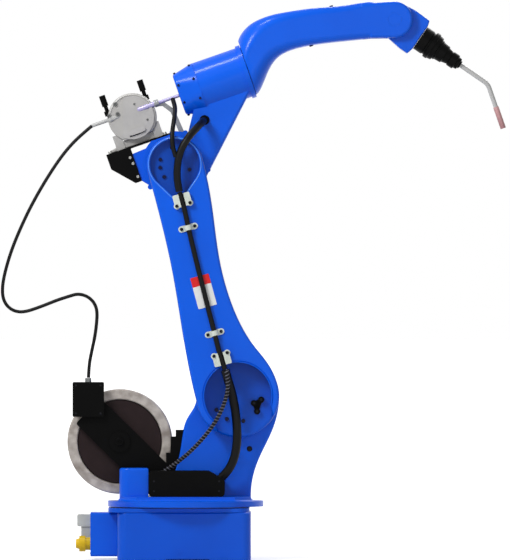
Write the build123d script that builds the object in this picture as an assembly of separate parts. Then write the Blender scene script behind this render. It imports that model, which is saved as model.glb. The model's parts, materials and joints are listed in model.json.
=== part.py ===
from build123d import *
import math
import os

# Arc-welding robot arm with six turning axes, its wire feeder, wire spool and torch.
# Sizes are in millimetres and angles in degrees. Z is up, X runs towards the torch and the near side is at -Y.
# The origin lies on the turret's turning axis, at the underside of the base.

# Layout of the axes
shoulder_x = 185.0
shoulder_z = 579.0
lower_arm_length = 847.0
lower_arm_lean = 15.2
elbow_offset = 228.4
forearm_reach = 901.7
forearm_rise = 19.2
wrist_bend = 53.7

# Gaps
seat_gap = 0.3
joint_gap = 8.0

# Base
base_length = 471.0
base_width = 440.0
base_height = 170.0
base_centre_x = -4.5
base_corner = 34.0
base_edge = 7.0
foot_gap_width = 155.0
foot_gap_x = 8.0
foot_gap_height = 6.0
foot_gap_depth = 60.0
foot_height = 30.0
foot_notch_depth = 56.0
foot_notch_width = 64.0
foot_bolt_radius = 9.0
foot_bolt_inset = 28.0
foot_bolt_spread = 300.0
base_boss_x = -24.0
base_boss_z = 32.0
base_boss_radius = 9.0
base_boss_height = 3.0
top_plate_length = 498.0
top_plate_centre_x = -23.0
top_plate_thickness = 14.0
top_plate_corner = 50.0
ring_radius = 196.0
ring_width = 60.0
ring_height = 4.0

# Connection box at the back of the base
box_depth = 96.0
box_width = 180.0
box_bottom_z = 12.0
box_top_z = 167.0
box_edge = 8.0
panel_thickness = 4.0
panel_margin = 6.0
hood_length = 50.0
hood_width = 62.0
hood_top_z = 159.0
hood_bottom_z = 116.0
hood_edge = 5.0
socket_length = 36.0
socket_width = 54.0
socket_bottom_z = 78.0
connector_y = 26.0
fitting_y = -46.0
fitting_radius = 28.0
fitting_length = 54.0
fitting_nose = 12.0
fitting_grip = 22.0
fitting_z = 56.5

# Turret
turret_flange_radius = 275.0
turret_flange_thickness = 20.0
pedestal_width = 392.0
pedestal_left = -233.0
pedestal_right = 231.0
pedestal_height = 16.0
pedestal_ledge = 1.0
pedestal_flare = 12.0
pedestal_reach = turret_flange_radius - pedestal_flare - pedestal_ledge
upright_near = -64.0
upright_far = 112.0
shoulder_radius = 146.0
upright_foot_left = -62.0
upright_waist_left = (-20.0, 388.0)
upright_neck_left = (6.0, 500.0)
upright_waist_right = (269.0, 378.0)
upright_edge = 10.0
motor_seat_radius = 88.0
motor_seat_height = 10.0
motor_seat_far = upright_far + motor_seat_height
shoulder_boss_radius = 104.0
turret_hole = (226.0, 392.0)
turret_hole_radius = 10.0
turret_hole_depth = 26.0
block_left = pedestal_left
block_right = -131.0
block_top = 325.0
block_near = -150.0
block_far = -62.0
block_edge = 8.0
block_round = 34.0
cable_box_left = -130.7
cable_box_right = 139.0
cable_box_top = 316.0
cable_box_near = -180.0
cable_box_far = -70.0
cable_box_corner = 16.0
cable_box_slope_start = 82.0
cable_box_slope_end = 284.0

# Drive motors
motor_flange_radius = 74.0
motor_flange_thickness = 14.0
motor_side = 116.0
motor_length = 120.0
motor_corner = 16.0
encoder_side = 92.0
encoder_length = 38.0
waist_motor_x = 60.0
waist_motor_y = 187.0
waist_seat_radius = 76.0
motor_plug_width = 34.0
motor_plug_depth = 24.0
motor_plug_length = 38.0
motor_plug_inset = 8.0
elbow_motor_side = 96.0
elbow_motor_length = 92.0
elbow_encoder_side = 76.0
elbow_motor_flange = 66.0

# Wire spool and its bracket
spool_x = -233.0
spool_z = 417.0
spool_rim_radius = 185.0
spool_rim_inner = 149.0
spool_rim_near = -34.0
spool_rim_far = 84.0
spool_wall = 4.0
spool_rim_edge = 6.0
spool_radius = 146.0
spool_near = -28.0
spool_width = 100.0
spool_flange_thickness = 5.0
spool_wire_radius = 128.0
spool_pin_radius = 25.0
pin_washer_width = 12.0
pin_washer_height = 8.0
bracket_bar_width = 125.0
bracket_bar_near = -60.0
bracket_bar_far = -40.0
bracket_bar_corner = 8.0
bracket_head = (-344.0, 526.0)
bracket_foot = (-90.0, 276.0)
outlet_box_left = -399.0
outlet_box_right = -288.0
outlet_box_bottom = 505.0
outlet_box_top = 628.0
outlet_box_near = -82.0
outlet_box_edge = 5.0
outlet_x = -344.0
outlet_y = -70.0
outlet_radius = 11.0
outlet_height = 14.0
step_left = -69.0
step_right = 40.0
step_low = 290.0
step_high = 459.0
step_far = -38.0
step_run = (16.0, 18.0)
step_rise = (88.0, 47.0)

# Lower arm, drawn from the shoulder axis upwards
arm_near = -180.0
arm_far = upright_near - joint_gap
elbow_lobe_radius = 99.0
arm_left_waist = (-107.0, 500.0)
arm_right_waist = (62.0, 450.0)
arm_right_hip = (98.0, 165.0)
arm_edge = 10.0
arm_far_edge = 6.0
shoulder_pocket_radius = 120.0
shoulder_pocket_depth = 72.0
shoulder_pocket_mouth = 206.0
shoulder_pocket_mouth_top = -20.0
shoulder_lobe_edge = 12.0
elbow_pocket_radius = 88.0
elbow_pocket_depth = 26.0
elbow_pocket_tip = (-18.0, -112.0)
elbow_pocket_tip_radius = 14.0
elbow_pocket_lip = 4.0
elbow_lip_depth = 2.5
buffer_places = ((48.0, -39.0), (76.0, -34.0), (51.0, -70.0))
buffer_radius = 11.0
buffer_height = 16.0
buffer_web = 5.0

# Clamps on the lower arm: place along the arm and across it. A split clamp's ears point down or up the arm.
split_clamps = {"cable_clamp_1": (lower_arm_length - 129.0, -8.0, -1), "cable_clamp_4": (142.0, -20.0, 1)}
bridge_clamps = {"cable_clamp_2": (lower_arm_length - 228.0, -13.5), "cable_clamp_3": (236.0, -21.0)}
clamp_foot = 4.0
clamp_wall = 4.0
clamp_length = 46.0
clamp_width = 62.0
clamp_height = 18.0
clamp_corner = 5.0
clamp_ear_radius = 11.0
clamp_ear_out = 24.0
clamp_ear_along = 16.0
clamp_ear_height = 11.0
bridge_length = 18.0
plate_thickness = 1.5
blank_plate_size = (67.0, 113.0)
blank_plate_corner = 3.0
blank_plate_place = (-20.0, 388.0)

# Elbow casting, drawn from the elbow axis with X along the forearm
elbow_near = arm_far + joint_gap
elbow_far = 100.0
elbow_radius = 118.0
elbow_boss_radius = 84.0
hub_knob_radius = 9.0
hub_knob_width = 30.0
hub_knob_angles = (52.8, -28.0, 203.0)
rear_face_x = -130.0
rear_face_low = -15.0
rear_face_high = 85.0
rear_shoulder = (-63.0, 89.0)
rear_step = (-27.0, 105.0)
rear_heel = (-60.0, -100.0)
rear_half_width = 58.0
web_half_width = 62.0
web_edge = 12.0
web_angle = 43.5
web_root = (60.0, 60.0)
web_crest = (130.0, 168.0)
web_foot = (322.0, 144.0)
drive_radius = 91.0
drive_start = 172.0
drive_end = 340.0
drive_flange_radius = 97.0
drive_flange_end = 352.0
drive_flange_overlap = 4.0
drive_spigot_radius = 70.0
cover_start = 94.0
cover_rear_size = 146.0
cover_rear_corner = 40.0
cover_front_size = 184.0
cover_front_corner = 84.0
cover_edge = 9.0

# Wire feeder on the elbow
shelf_low = 106.0
shelf_thickness = 6.0
shelf_start = -219.0
shelf_end = 19.0
shelf_half_width = 64.0
gusset_thickness = 6.0
gusset_drop = 58.0
gusset_toe = -154.0
feeder_x = -88.0
feeder_z = 207.0
feeder_radius = 86.0
feeder_flat = 70.0
feeder_near = -50.0
feeder_far = 46.0
feeder_rim = 5.0
feeder_foot_places = (-162.0, -20.0)
feeder_foot_width = 30.0
feeder_foot_inset = 8.0
feeder_foot_top = 166.0
door_radius = 77.0
door_height = 5.0
door_edge = (-116.0, 225.0)
latch_place = (-88.0, 157.0)
latch_length = 62.0
latch_width = 20.0
latch_height = 12.0
feeder_motor_radius = 40.0
feeder_motor_length = 150.0
wire_y = -46.0
wire_z = 226.0
inlet_end = -232.0
inlet_radius = 6.5
guide_radius = 12.0
guide_start = -176.0
guide_shoulder = -164.0
guide_tip = -124.0
guide_tip_radius = 4.0
outlet_start = -40.0
outlet_neck = 18.0
outlet_radius_wide = 9.0
tube_radius = 6.0
strap_thickness = 5.0
strap_ring_width = 16.0
strap_ring_wall = 4.0
strap_outline = ((12, 214), (12, 222), (36, 222), (62, 186), (70, 80), (52, 80), (46, 180), (26, 210))
lever_places = ((-165.0, 250.0), (-21.0, 258.0))
lever_y = -8.0
lever_radius = 11.0
lever_stem_radius = 7.0
lever_stem_length = 26.0
lever_length = 66.0
lever_ear = (24.0, 18.0, 18.0)

# Forearm, drawn in the elbow's frame
forearm_gap = 2.0
forearm_stations = (
    # distance past the drive flange, half width, lower edge, upper edge, corner radius
    (0.0, 92.0, 140.0, 340.0, 84.0),
    (18.0, 93.0, 152.0, 359.0, 80.0),
    (40.0, 92.0, 175.0, 373.0, 72.0),
    (68.0, 90.0, 206.0, 383.0, 60.0),
    (102.0, 87.0, 233.0, 387.5, 48.0),
    (144.0, 84.0, 246.5, 387.0, 38.0),
    (192.0, 81.0, 247.0, 380.5, 32.0),
    (250.0, 78.0, 239.0, 370.0, 28.0),
    (330.0, 75.0, 222.0, 351.0, 26.0),
    (410.0, 73.0, 203.0, 331.5, 24.0),
    (505.0, 72.0, 181.0, 308.0, 22.0),
)
wrist_lobe_radius = 64.0
wrist_lobe_edge = 12.0
fork_start = 455.0
cheek_inner = 47.0
cheek_outer = 72.0
wrist_slot_radius = 132.0
wrist_pivot_radius = 34.0
wrist_bore_radius = 24.0

# Wrist block and torch, drawn from the wrist axis with X along the torch
wrist_half_width = 42.0
wrist_front = 110.0
wrist_edge = 6.0
wrist_outline = ((-40, -34), (-40, 34), (0, 64), (43, 69), (104, 67), (110, 47), (110, -48), (104, -73), (72, -73),
                 (0, -64))
tool_gap = 0.5
torch_profile = (
    # distance from the wrist's front face, radius
    (0.0, 46.0), (32.0, 46.0), (34.0, 43.0), (40.0, 43.0), (42.0, 50.0), (56.0, 50.0), (58.0, 46.5), (72.0, 44.0),
    (74.0, 38.0), (80.0, 38.0), (82.0, 35.0), (106.0, 33.0), (108.0, 29.0), (128.0, 24.0), (130.0, 27.5),
    (152.0, 27.5), (155.0, 22.0), (165.0, 21.0), (168.0, 14.0), (172.0, 14.0),
)
neck_radius = 8.2
neck_bend_x = 118.0
neck_droop = 36.3
neck_bend_radius = 46.0
neck_rest = 40.0
nozzle_radius = 10.0
nozzle_length = 80.0
nozzle_wall = 2.0
nozzle_depth = 22.0

# Cables
shoulder_cable_radius = 15.5
elbow_cable_radius = 13.0
arm_cable_radius = 9.0
cable_lift = 2.5
spiral_cable_radius = 6.5
lead_radius = 8.0
conduit_radius = 6.0

# Cable routes, as points along each one. These two start at the lower arm's clamp and end in the cable box.
# Their points are given from the shoulder axis, along the whole arm's X, Y and Z.
shoulder_cable_route = [
    (-44.8, -197.5, 92.8), (-39, -195, 71), (-31, -182, 45), (-22, -167, 15), (-14, -158, -21), (-7, -156, -64),
    (-2.5, -156, -117), (-3, -151, -169), (-13, -142, -223), (-36, -132, -267), (-69, -124, -299),
]
spiral_cable_route = [
    (-41, -221, 93), (-36, -219, 69), (-35, -212, 33), (-42, -205, -9), (-61, -199, -58), (-91, -193, -109),
    (-127, -180, -153), (-167, -159, -195), (-210, -139, -231), (-242, -131, -254), (-274, -128, -274),
]
# These points are given from the elbow axis, along the whole arm's X, Y and Z.
elbow_cable_route = [
    (16.1, -197.5, -96.8), (8, -199, -58), (8, -199, -14), (14, -199, 28), (28, -200, 64), (49, -197, 96),
    (71, -172, 123), (93, -134, 148), (113, -96, 174), (125, -58, 200),
]
# These two are in the shoulder's and the elbow's frames.
arm_cable_route = [
    (-19, 103.7), (-23, 150), (-21, 240), (-18, 440), (-13, lower_arm_length - 229), (-8, lower_arm_length - 157),
    (-10, lower_arm_length - 99),
]
lead_route = [
    (68, -46, 222), (68, -60, 208), (66, -88, 188), (58, -128, 168), (47, -164, 145), (32, -188, 117), (20, -196, 87),
    (12, -198, 56), (12, -199, 22),
]
# The wire conduit hangs free between the feeder's inlet and the outlet box, in two lengths that meet end to end.
# Its points are given from the outlet's top. Where the inlet moves, the points shift by a share that fades out.
conduit_upper_route = [
    (12, 24, 887), (-21, 23, 860), (-63, 21, 820), (-104, 18, 769), (-153, 15, 694), (-202, 12, 608),
    (-240, 10, 528), (-272, 8, 450), (-295, 6, 372), (-299.5, 5, 345),
]
conduit_lower_route = [
    (-299.5, 5, 345), (-304, 4, 318), (-301, 3, 280), (-285, 2, 252), (-258, 1, 235), (-224, 0, 233),
    (-170, -2, 251), (-108, -3, 276), (-67, -3, 289), (-37, -3, 298), (-4, -2, 290), (20, -1, 269),
    (32, 0, 239), (30, 1, 193), (23, 2, 142), (12, 1, 93), (3, 0, 46), (1, 0, 1),
]

shoulder_frame = Location((shoulder_x, 0, shoulder_z), (0, -lower_arm_lean, 0))
elbow_point = (shoulder_frame * Location((0, 0, lower_arm_length))).position
elbow_frame = Location(elbow_point, (0, -forearm_rise, 0))
wrist_frame = elbow_frame * Location((forearm_reach, 0, elbow_offset), (0, wrist_bend, 0))

parts = {}


def plate(outline, near, far):
    """Extrudes an outline drawn in X and Z from the near depth to the far depth along Y."""
    return extrude(Plane.XZ.offset(-far) * outline, amount=far - near)


def slab(outline, low, high):
    """Extrudes an outline drawn in X and Y between two heights."""
    return extrude(Plane.XY.offset(low) * outline, amount=high - low)


def bar_x(outline, start, end):
    """Extrudes an outline drawn in Y and Z from one distance along X to another."""
    return extrude(Plane.YZ.offset(start) * outline, amount=end - start)


def box_between(low, high):
    """A box given by its two far corners."""
    size = [b - a for a, b in zip(low, high)]
    middle = [(a + b) / 2 for a, b in zip(low, high)]
    return Pos(*middle) * Box(*size)


def outline_of(*edges):
    """A flat face bounded by edges that meet end to end."""
    return make_face(Curve() + list(edges))


def edge_near(shape, place):
    """The shape's edge whose middle lies nearest to a place."""
    return shape.edges().sort_by_distance(Vector(*place))[0]


def hull(*circles):
    """The outline drawn tight round circles, each given as X, Z and radius."""
    return make_hull([edge for x, z, radius in circles for edge in (Pos(x, z) * Circle(radius)).edges()])


def route(points):
    """A cable's centre line: straight runs joined by arcs as large as the runs allow, with the arcs' radii."""
    places = [Vector(*p) for p in points]
    radii = []
    for before, here, after in zip(places, places[1:], places[2:]):
        turn = math.radians((here - before).get_angle(after - here))
        shorter = min((here - before).length, (after - here).length)
        radii.append(0.45 * shorter / math.tan(turn / 2))
    return FilletPolyline(*places, radius=radii), radii


def cable(name, points, radius, frame=Location()):
    """A round cable along its route. Prints its volume against section times length, and its tightest bends."""
    line, radii = route(points)
    solid = sweep(Plane(origin=line @ 0, z_dir=line % 0) * Circle(radius), path=line)
    ideal = math.pi * radius**2 * line.length
    tightest = [round(r) for r in sorted(radii)[:4]]
    print(name, "volume ratio", round(solid.volume / ideal, 4), "length", round(line.length), "radii from", tightest)
    parts[name] = frame * solid


def base():
    """The base casting, its top plate, the slewing ring, the connection box and its two connectors."""
    plan = Pos(base_centre_x, 0) * RectangleRounded(base_length, base_width, base_corner)
    casting = slab(plan, 0, base_height)
    casting = fillet(casting.edges().group_by(Axis.Z)[-1], base_edge)
    bolt_reach = base_length / 2 - foot_bolt_inset
    for side in (-1, 1):
        for end in (-1, 1):
            x = base_centre_x + side * bolt_reach
            y = end * foot_bolt_spread / 2
            edge_x = base_centre_x + side * base_length / 2
            notch = Pos(edge_x, y) * SlotOverall(2 * foot_notch_depth, foot_notch_width)
            casting -= slab(notch, foot_height, base_height - 2 * base_edge)
            casting -= slab(Pos(x, y) * Circle(foot_bolt_radius), -1, foot_height + 1)
    for side in (-1, 1):
        gap = Pos(foot_gap_x, side * base_width / 2) * Rectangle(foot_gap_width, 2 * foot_gap_depth)
        casting -= slab(gap, -1, foot_gap_height)
    boss = Pos(base_boss_x, base_boss_z) * Circle(base_boss_radius)
    casting += plate(boss, -base_width / 2 - base_boss_height, -base_width / 2 + 1)
    parts["base_casting"] = casting

    cap = Pos(top_plate_centre_x, 0) * RectangleRounded(top_plate_length, base_width, top_plate_corner)
    parts["base_top_plate"] = slab(cap, base_height, base_height + top_plate_thickness)
    ring_low = base_height + top_plate_thickness
    ring = Circle(ring_radius) - Circle(ring_radius - ring_width)
    parts["slewing_ring"] = slab(ring, ring_low, ring_low + ring_height - seat_gap)

    back = base_centre_x - base_length / 2
    outer = back - box_depth
    box = box_between((outer, -box_width / 2, box_bottom_z), (back, box_width / 2, box_top_z))
    box = fillet(box.edges().filter_by(Axis.X), box_edge)
    panel = Pos(0, (box_bottom_z + box_top_z) / 2) * RectangleRounded(
        box_width - 2 * panel_margin, box_top_z - box_bottom_z - 2 * panel_margin, box_edge)
    box -= bar_x(panel, outer - 1, outer + panel_thickness / 2)
    parts["connection_box"] = box
    seat = outer + panel_thickness / 2

    hood = box_between((seat - hood_length, connector_y - hood_width / 2, hood_bottom_z),
                       (seat, connector_y + hood_width / 2, hood_top_z))
    hood = fillet(hood.edges().filter_by(Axis.Y), hood_edge)
    socket = box_between((seat - socket_length, connector_y - socket_width / 2, socket_bottom_z),
                         (seat, connector_y + socket_width / 2, hood_bottom_z))
    parts["power_connector"] = hood + socket

    start = seat - fitting_length
    grip = start + fitting_nose
    grip_end = grip + fitting_grip
    profile = Polyline((start, 0), (start, 0.55 * fitting_radius), (grip, 0.7 * fitting_radius),
                       (grip, fitting_radius), (grip_end, fitting_radius),
                       (grip_end, 0.8 * fitting_radius), (seat, 0.8 * fitting_radius), (seat, 0), close=True)
    turned = revolve(Plane.XZ * make_face(profile), Axis.X)
    parts["air_fitting"] = Pos(0, fitting_y, fitting_z) * turned


def motor(side, length, encoder, encoder_reach, flange, flange_thickness):
    """A servo motor that stands on its flange and points up Z: flange, square body, encoder cap and plug."""
    body = slab(Circle(flange), 0, flange_thickness)
    body += slab(RectangleRounded(side, side, motor_corner), flange_thickness, length)
    body += slab(RectangleRounded(encoder, encoder, motor_corner), length, length + encoder_reach)
    plug = Pos(0, side / 2) * Rectangle(motor_plug_width, motor_plug_depth)
    plug_top = length - motor_plug_inset
    body += slab(plug, plug_top - motor_plug_length, plug_top)
    return body


def turret():
    """The turret casting with its flange and upright, the cable tray parts and its two motors."""
    flange_low = base_height + top_plate_thickness + ring_height
    flange_high = flange_low + turret_flange_thickness
    floor = flange_high + pedestal_height
    casting = slab(Circle(turret_flange_radius), flange_low, flange_high)
    middle = (pedestal_left + pedestal_right) / 2
    pedestal = Pos(middle, 0) * Rectangle(pedestal_right - pedestal_left, pedestal_width)
    casting += slab(pedestal & Circle(pedestal_reach), flange_high, floor)
    ring = casting.edges().filter_by_position(Axis.Z, flange_high - 0.1, flange_high + 0.1)
    flare = [edge for edge in ring if abs(edge.bounding_box().max.Z - flange_high) < 0.1
             and edge.bounding_box().max.Y - edge.bounding_box().min.Y < 2 * pedestal_reach]
    casting = fillet(flare, pedestal_flare)

    head_left = (shoulder_x - shoulder_radius, shoulder_z)
    head_right = (shoulder_x + shoulder_radius, shoulder_z)
    head_top = (shoulder_x, shoulder_z + shoulder_radius)
    left_side = Spline(head_left, upright_neck_left, upright_waist_left, (upright_foot_left, floor),
                       tangents=[(0, -1), (-0.2, -1)])
    right_side = Spline((pedestal_right, floor), upright_waist_right, head_right, tangents=[(0, 1), (0, 1)])
    foot = Line((upright_foot_left, floor), (pedestal_right, floor))
    head = ThreePointArc(head_right, head_top, head_left)
    upright = plate(outline_of(left_side, foot, right_side, head), upright_near, upright_far)
    rounded = [edge for face in (Axis.Y, -Axis.Y) for edge in upright.faces().sort_by(face)[0].edges()
               if edge.center().Z > floor + 1]
    casting += fillet(rounded, upright_edge)
    casting += plate(Pos(shoulder_x, shoulder_z) * Circle(motor_seat_radius), upright_far, motor_seat_far)
    casting += plate(Pos(shoulder_x, shoulder_z) * Circle(shoulder_boss_radius), arm_far + seat_gap, upright_near)
    hole = Pos(*turret_hole) * Circle(turret_hole_radius)
    casting -= plate(hole, upright_near - 1, upright_near + turret_hole_depth)
    casting += slab(Pos(waist_motor_x, waist_motor_y) * Circle(waist_seat_radius), flange_high, floor)
    parts["turret_casting"] = casting

    block = box_between((block_left, block_near, floor), (block_right, block_far, block_top))
    block = fillet(edge_near(block, (block_left, block_near, (floor + block_top) / 2)), block_round)
    block = fillet(block.edges().group_by(Axis.Z)[-1], block_edge)
    parts["junction_block"] = block

    left, right, top = cable_box_left, cable_box_right, cable_box_top
    face = make_face(Polyline((left, floor), (left, top), (cable_box_slope_start, top),
                              (right, cable_box_slope_end), (right, floor), close=True))
    face = fillet(face.vertices(), cable_box_corner)
    parts["cable_box"] = plate(face, cable_box_near, cable_box_far)

    drive = motor(motor_side, motor_length, encoder_side, encoder_length, motor_flange_radius, motor_flange_thickness)
    parts["shoulder_motor"] = Pos(shoulder_x, motor_seat_far, shoulder_z) * Rot(-90, 0, 0) * drive
    parts["waist_motor"] = Pos(waist_motor_x, waist_motor_y, floor) * drive


def spool_group():
    """The spool cover and spool, the bar that carries them, the outlet box and the stepped bracket."""
    centre = Pos(spool_x, spool_z)
    rim = plate(centre * (Circle(spool_rim_radius) - Circle(spool_rim_inner)), spool_rim_near, spool_rim_far)
    rim += plate(centre * Circle(spool_rim_radius), spool_rim_far - spool_wall, spool_rim_far)
    edges = rim.edges().filter_by(GeomType.CIRCLE).group_by(Axis.Y)[0]
    parts["spool_cover"] = fillet(edges, spool_rim_edge)

    pin_far = spool_rim_far - spool_wall
    wire = Circle(spool_wire_radius) - Circle(spool_pin_radius + seat_gap)
    flange = Circle(spool_radius) - Circle(spool_pin_radius + seat_gap)
    spool_far = spool_near + spool_width
    spool = plate(centre * wire, spool_near, spool_far)
    spool += plate(centre * flange, spool_near, spool_near + spool_flange_thickness)
    spool += plate(centre * flange, spool_far - spool_flange_thickness, spool_far)
    parts["wire_spool"] = spool

    start = Vector(*bracket_head)
    end = Vector(*bracket_foot)
    along = end - start
    angle = math.degrees(math.atan2(along.Y, along.X))
    middle = (start + end) / 2
    bar = Pos(middle.X, middle.Y) * Rot(0, 0, angle) * RectangleRounded(
        along.length, bracket_bar_width, bracket_bar_corner)
    bracket = plate(bar, bracket_bar_near, bracket_bar_far)
    bracket += plate(centre * Circle(spool_pin_radius), bracket_bar_far, pin_far)
    washer = Circle(spool_pin_radius + pin_washer_width)
    bracket += plate(centre * washer, bracket_bar_near - pin_washer_height, bracket_bar_near)
    first, second = step_run
    lower, upper = step_rise
    steps = make_face(Polyline((step_left, step_low), (step_left, step_low + lower),
                               (step_left + first, step_low + lower), (step_left + first, step_high - upper / 2),
                               (step_left + first + second, step_high - upper / 2),
                               (step_left + first + second, step_high), (step_right, step_high),
                               (step_right, step_low), close=True))
    bracket += plate(steps, bracket_bar_near, step_far)
    parts["spool_bracket"] = bracket - parts["turret_casting"]

    box = box_between((outlet_box_left, outlet_box_near, outlet_box_bottom),
                      (outlet_box_right, bracket_bar_near, outlet_box_top))
    parts["outlet_box"] = fillet(box.edges().filter_by(Axis.Y), outlet_box_edge)

    gland = Pos(outlet_x, outlet_y)
    parts["outlet_fitting"] = slab(gland * Circle(outlet_radius), outlet_box_top, outlet_box_top + outlet_height)


def lower_arm():
    """The lower arm casting in the shoulder's frame, with its two hollows and the buffers in the lower one."""
    top = lower_arm_length
    right_side = Spline((shoulder_radius, 0), arm_right_hip, arm_right_waist, (elbow_lobe_radius, top),
                        tangents=[(0, 1), (0, 1)])
    left_side = Spline((-elbow_lobe_radius, top), arm_left_waist, (-shoulder_radius, 0), tangents=[(0, -1), (0, -1)])
    top_arc = ThreePointArc((elbow_lobe_radius, top), (0, top + elbow_lobe_radius), (-elbow_lobe_radius, top))
    low_arc = ThreePointArc((-shoulder_radius, 0), (0, -shoulder_radius), (shoulder_radius, 0))
    casting = plate(outline_of(right_side, top_arc, left_side, low_arc), arm_near, arm_far)
    casting = fillet(casting.faces().sort_by(Axis.Y)[-1].edges(), arm_far_edge)

    mouth_height = shoulder_radius + shoulder_pocket_mouth_top
    pocket = Circle(shoulder_pocket_radius)
    mouth_middle = shoulder_pocket_mouth_top - mouth_height
    pocket += Pos(0, mouth_middle) * Rectangle(shoulder_pocket_mouth, 2 * mouth_height)
    pocket_floor = arm_near + shoulder_pocket_depth
    casting -= plate(pocket, arm_near - 1, pocket_floor)
    casting = fillet(casting.faces().sort_by(Axis.Y)[0].edges(), arm_edge)
    lobe = [edge for edge in casting.edges().filter_by(GeomType.CIRCLE)
            if abs(edge.radius - shoulder_radius) < 0.1 and abs(edge.center().Y - pocket_floor) < 0.1]
    casting = fillet(lobe, shoulder_lobe_edge)
    tip_x, tip_z = elbow_pocket_tip
    for spread, depth in ((0, elbow_pocket_depth), (elbow_pocket_lip, elbow_lip_depth)):
        teardrop = hull((0, top, elbow_pocket_radius + spread), (tip_x, top + tip_z, elbow_pocket_tip_radius + spread))
        casting -= plate(teardrop, arm_near - 1, arm_near + depth)
    parts["lower_arm_casting"] = shoulder_frame * casting

    web = hull(*((x, z, buffer_radius / 2) for x, z in buffer_places))
    buffers = plate(web, pocket_floor - buffer_web, pocket_floor)
    for place in buffer_places:
        buffers += plate(Pos(*place) * Circle(buffer_radius), pocket_floor - buffer_height, pocket_floor)
    parts["stop_block"] = shoulder_frame * buffers


def arm_fittings():
    """The cable along the arm, the clamps that hold it on the near face, and the blank plate under it."""
    lie = arm_near - arm_cable_radius - cable_lift
    points = [(x, lie, z) for x, z in arm_cable_route]
    cable("arm_cable", points, arm_cable_radius, shoulder_frame)
    cable("arm_cable_room", points, arm_cable_radius + seat_gap)
    room = parts.pop("arm_cable_room")

    for name, (z, x, side) in split_clamps.items():
        body = plate(Pos(x, z) * RectangleRounded(clamp_width, clamp_length, clamp_corner),
                     arm_near - clamp_height, arm_near)
        for end in (-1, 1):
            ear = Pos(x + end * clamp_ear_out, z + side * clamp_ear_along) * Circle(clamp_ear_radius)
            body += plate(ear, arm_near - clamp_ear_height, arm_near)
        slot = Pos(x, z) * Rectangle(2 * arm_cable_radius, 2 * clamp_length)
        body -= plate(slot, arm_near - 2 * clamp_height, arm_near - clamp_foot)
        parts[name] = shoulder_frame * (body - room)

    hump_radius = arm_cable_radius + clamp_wall
    for name, (z, x) in bridge_clamps.items():
        ears = Pos(x, z) * SlotOverall(2 * (clamp_ear_out + clamp_ear_radius), 2 * clamp_ear_radius)
        body = plate(ears, arm_near - clamp_foot, arm_near)
        outline = Pos(x, lie) * Circle(hump_radius)
        outline += Pos(x, (lie + arm_near) / 2) * Rectangle(2 * hump_radius, arm_near - lie)
        outline -= Pos(x, arm_near + hump_radius) * Rectangle(4 * hump_radius, 2 * hump_radius)
        body += slab(outline, z - bridge_length / 2, z + bridge_length / 2)
        parts[name] = shoulder_frame * (body - room)
    width, height = blank_plate_size
    badge = plate(Pos(*blank_plate_place) * RectangleRounded(width, height, blank_plate_corner),
                  arm_near - plate_thickness, arm_near)
    parts["blank_plate"] = shoulder_frame * badge


def elbow():
    """The elbow casting in its own frame, with the forearm drive, its rear cover and the elbow motor."""
    hub = plate(Circle(elbow_radius), elbow_near, elbow_far)
    hub += plate(Circle(elbow_boss_radius), arm_far + seat_gap, elbow_near)
    for angle in hub_knob_angles:
        knob = Rot(0, 0, angle) * Pos(elbow_radius, 0) * Circle(hub_knob_radius)
        hub += plate(knob, elbow_near, elbow_near + hub_knob_width)
    rear = make_face(Polyline((rear_face_x, rear_face_low), (rear_face_x, rear_face_high), rear_shoulder, rear_step,
                              (0, rear_step[1]), (0, rear_heel[1]), rear_heel, close=True))
    casting = hub + plate(rear, -rear_half_width, rear_half_width)
    casting -= box_between((-2 * elbow_radius, 2 * elbow_near, shelf_low),
                           (shelf_end, 2 * elbow_far, 2 * elbow_radius))
    tangent = math.radians(web_angle)
    low = (elbow_radius * math.sin(tangent), -elbow_radius * math.cos(tangent))
    web_outline = make_face(Polyline(web_root, web_crest, (drive_end, web_crest[1]), web_foot, low, (0, 0),
                                     close=True))
    web = plate(web_outline, -web_half_width, web_half_width)
    for side in (-1, 1):
        middle = ((web_foot[0] + low[0]) / 2, side * web_half_width, (web_foot[1] + low[1]) / 2)
        web = fillet(edge_near(web, middle), web_edge)
    casting += web
    axis = Pos(0, elbow_offset)
    casting += bar_x(axis * Circle(drive_radius), drive_start, drive_end)
    casting += bar_x(axis * Circle(drive_flange_radius), drive_end - drive_flange_overlap, drive_flange_end)
    casting += bar_x(axis * Circle(drive_spigot_radius), drive_flange_end, drive_flange_end + forearm_gap - seat_gap)
    parts["elbow_casting"] = elbow_frame * casting

    rear_end = Plane.YZ.offset(cover_start) * axis * RectangleRounded(
        cover_rear_size, cover_rear_size, cover_rear_corner)
    front_end = Plane.YZ.offset(drive_start) * axis * RectangleRounded(
        cover_front_size, cover_front_size, cover_front_corner)
    cap = loft([rear_end, front_end], ruled=True)
    cap = fillet(cap.faces().sort_by(Axis.X)[0].edges(), cover_edge)
    parts["drive_cover"] = elbow_frame * (cap - casting)

    drive = motor(elbow_motor_side, elbow_motor_length, elbow_encoder_side, encoder_length,
                  elbow_motor_flange, motor_flange_thickness)
    parts["elbow_motor"] = elbow_frame * Pos(0, elbow_far, 0) * Rot(-90, 0, 0) * drive


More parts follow.
